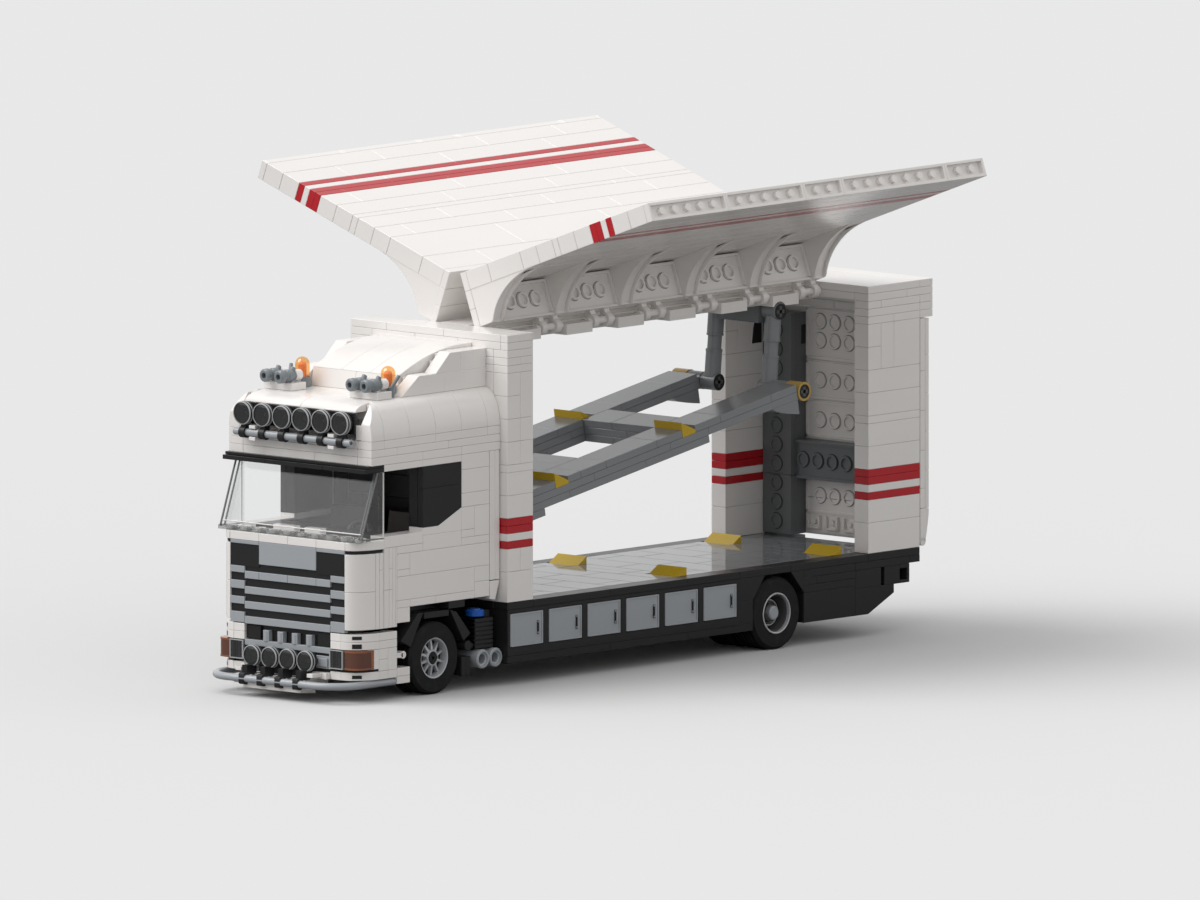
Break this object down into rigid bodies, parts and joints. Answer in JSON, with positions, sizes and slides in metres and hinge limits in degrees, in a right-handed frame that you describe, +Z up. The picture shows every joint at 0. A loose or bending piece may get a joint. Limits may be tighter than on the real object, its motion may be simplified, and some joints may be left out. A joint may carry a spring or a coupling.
{
  "type": "brick-built toy car transporter truck",
  "caption": "Toy transporter truck of plastic bricks: cab, box body with gull wings, sloping upper deck on lift arms, side lockers and fold-down tailgate ramp.",
  "frame": {"origin": "on the ground, at the middle of the width and of the whole length, lamps' bar and roof lip included", "axes": "+Z up, the truck faces -Y and its load space runs towards +Y, +X is the truck's own left side"},
  "size_m": [0.2212, 0.364, 0.2064],
  "materials": {
    "white": "glossy moulded plastic, white",
    "red": "glossy moulded plastic, red",
    "black": "glossy moulded plastic, black",
    "light_grey": "glossy moulded plastic, light bluish grey",
    "deck_grey": "glossy moulded plastic, mid grey",
    "dark_grey": "glossy moulded plastic, dark bluish grey",
    "yellow": "glossy moulded plastic, yellow",
    "tan": "glossy moulded plastic, golden tan",
    "blue": "glossy moulded plastic, blue",
    "amber": "transparent orange plastic",
    "clear_red": "transparent red plastic",
    "clear": "transparent smoke plastic",
    "seat": "moulded plastic, dark",
    "tyre": "moulded rubber",
    "rim": "moulded plastic, silver grey"
  },
  "bodies": {
    "truck": {"box_front": "white", "box_rear": "white", "roof_spine": "white", "cab_lower": "white", "cab_upper": "white", "roof_fairing": "white", "bumper": "white", "stripes": "red", "tail_lamps": "clear_red", "chassis_frame": "black", "axles": "black", "side_sills": "black", "locker_cases": "black", "cab_floor": "black", "cab_trim": "black", "grille_back": "black", "lamp_housings": "black", "mudguards": "black", "grille_slats": "light_grey", "lamp_bars": "light_grey", "air_tanks": "light_grey", "deck_floor": "deck_grey", "arm_hanger": "dark_grey", "deck_chocks": "yellow", "fuel_cap": "blue", "amber_lenses": "amber", "lamp_lenses": "clear", "windscreen": "clear", "seats": "seat"},
    "wing_left": {"wing_left": "white", "wing_stripe_left": "red"},
    "wing_right": {"wing_right": "white", "wing_stripe_right": "red"},
    "upper_deck": {"upper_deck": "deck_grey", "upper_deck_chocks": "yellow", "upper_deck_bushes": "tan", "upper_deck_axles": "black"},
    "lift_arms": {"lift_arms": "dark_grey"},
    "tailgate": {"tailgate": "white", "tailgate_tracks": "dark_grey"},
    "locker_door_left_1": {"locker_door_left_1": "light_grey"},
    "locker_door_left_2": {"locker_door_left_2": "light_grey"},
    "locker_door_left_3": {"locker_door_left_3": "light_grey"},
    "locker_door_left_4": {"locker_door_left_4": "light_grey"},
    "locker_door_left_5": {"locker_door_left_5": "light_grey"},
    "locker_door_left_6": {"locker_door_left_6": "light_grey"},
    "locker_door_right_1": {"locker_door_right_1": "light_grey"},
    "locker_door_right_2": {"locker_door_right_2": "light_grey"},
    "locker_door_right_3": {"locker_door_right_3": "light_grey"},
    "locker_door_right_4": {"locker_door_right_4": "light_grey"},
    "locker_door_right_5": {"locker_door_right_5": "light_grey"},
    "locker_door_right_6": {"locker_door_right_6": "light_grey"},
    "wheel_front_left": {"tyre_front_left": "tyre", "rim_front_left": "rim"},
    "wheel_front_right": {"tyre_front_right": "tyre", "rim_front_right": "rim"},
    "wheel_rear_left": {"tyre_rear_left": "tyre", "rim_rear_left": "rim"},
    "wheel_rear_right": {"tyre_rear_right": "tyre", "rim_rear_right": "rim"}
  },
  "joints": [
    {"name": "wing_left_hinge", "type": "hinge", "parent": "truck", "child": "wing_left", "pos_m": [0.016, 0, 0.1432], "axis": [0, 1, 0], "range_deg": [0, 110]},
    {"name": "wing_right_hinge", "type": "hinge", "parent": "truck", "child": "wing_right", "pos_m": [-0.016, 0, 0.1432], "axis": [0, -1, 0], "range_deg": [0, 110]},
    {"name": "upper_deck_hinge", "type": "hinge", "parent": "truck", "child": "upper_deck", "pos_m": [0, -0.0704, 0.0729], "axis": [-1, 0, 0], "range_deg": [0, 18]},
    {"name": "lift_arm_swing", "type": "hinge", "parent": "truck", "child": "lift_arms", "pos_m": [0, 0.11426, 0.13705], "axis": [-1, 0, 0], "range_deg": [-40, 55]},
    {"name": "tailgate_hinge", "type": "hinge", "parent": "truck", "child": "tailgate", "pos_m": [0, 0.176, 0.037], "axis": [-1, 0, 0], "range_deg": [0, 110]},
    {"name": "locker_hinge_left_1", "type": "hinge", "parent": "truck", "child": "locker_door_left_1", "pos_m": [0.0432, -0.0793, 0.02316], "axis": [0, 0, -1], "range_deg": [0, 100]},
    {"name": "locker_hinge_left_2", "type": "hinge", "parent": "truck", "child": "locker_door_left_2", "pos_m": [0.0432, -0.0553, 0.02316], "axis": [0, 0, -1], "range_deg": [0, 100]},
    {"name": "locker_hinge_left_3", "type": "hinge", "parent": "truck", "child": "locker_door_left_3", "pos_m": [0.0432, -0.0313, 0.02316], "axis": [0, 0, -1], "range_deg": [0, 100]},
    {"name": "locker_hinge_left_4", "type": "hinge", "parent": "truck", "child": "locker_door_left_4", "pos_m": [0.0432, -0.0073, 0.02316], "axis": [0, 0, -1], "range_deg": [0, 100]},
    {"name": "locker_hinge_left_5", "type": "hinge", "parent": "truck", "child": "locker_door_left_5", "pos_m": [0.0432, 0.0167, 0.02316], "axis": [0, 0, -1], "range_deg": [0, 100]},
    {"name": "locker_hinge_left_6", "type": "hinge", "parent": "truck", "child": "locker_door_left_6", "pos_m": [0.0432, 0.0407, 0.02316], "axis": [0, 0, -1], "range_deg": [0, 100]},
    {"name": "locker_hinge_right_1", "type": "hinge", "parent": "truck", "child": "locker_door_right_1", "pos_m": [-0.0432, -0.0793, 0.02316], "axis": [0, 0, 1], "range_deg": [0, 100]},
    {"name": "locker_hinge_right_2", "type": "hinge", "parent": "truck", "child": "locker_door_right_2", "pos_m": [-0.0432, -0.0553, 0.02316], "axis": [0, 0, 1], "range_deg": [0, 100]},
    {"name": "locker_hinge_right_3", "type": "hinge", "parent": "truck", "child": "locker_door_right_3", "pos_m": [-0.0432, -0.0313, 0.02316], "axis": [0, 0, 1], "range_deg": [0, 100]},
    {"name": "locker_hinge_right_4", "type": "hinge", "parent": "truck", "child": "locker_door_right_4", "pos_m": [-0.0432, -0.0073, 0.02316], "axis": [0, 0, 1], "range_deg": [0, 100]},
    {"name": "locker_hinge_right_5", "type": "hinge", "parent": "truck", "child": "locker_door_right_5", "pos_m": [-0.0432, 0.0167, 0.02316], "axis": [0, 0, 1], "range_deg": [0, 100]},
    {"name": "locker_hinge_right_6", "type": "hinge", "parent": "truck", "child": "locker_door_right_6", "pos_m": [-0.0432, 0.0407, 0.02316], "axis": [0, 0, 1], "range_deg": [0, 100]},
    {"name": "wheel_front_left_spin", "type": "hinge", "parent": "truck", "child": "wheel_front_left", "pos_m": [0.0323, -0.122, 0.0152], "axis": [1, 0, 0], "continuous": true},
    {"name": "wheel_front_right_spin", "type": "hinge", "parent": "truck", "child": "wheel_front_right", "pos_m": [-0.0323, -0.122, 0.0152], "axis": [1, 0, 0], "continuous": true},
    {"name": "wheel_rear_left_spin", "type": "hinge", "parent": "truck", "child": "wheel_rear_left", "pos_m": [0.028, 0.086, 0.0152], "axis": [1, 0, 0], "continuous": true},
    {"name": "wheel_rear_right_spin", "type": "hinge", "parent": "truck", "child": "wheel_rear_right", "pos_m": [-0.028, 0.086, 0.0152], "axis": [1, 0, 0], "continuous": true}
  ]
}
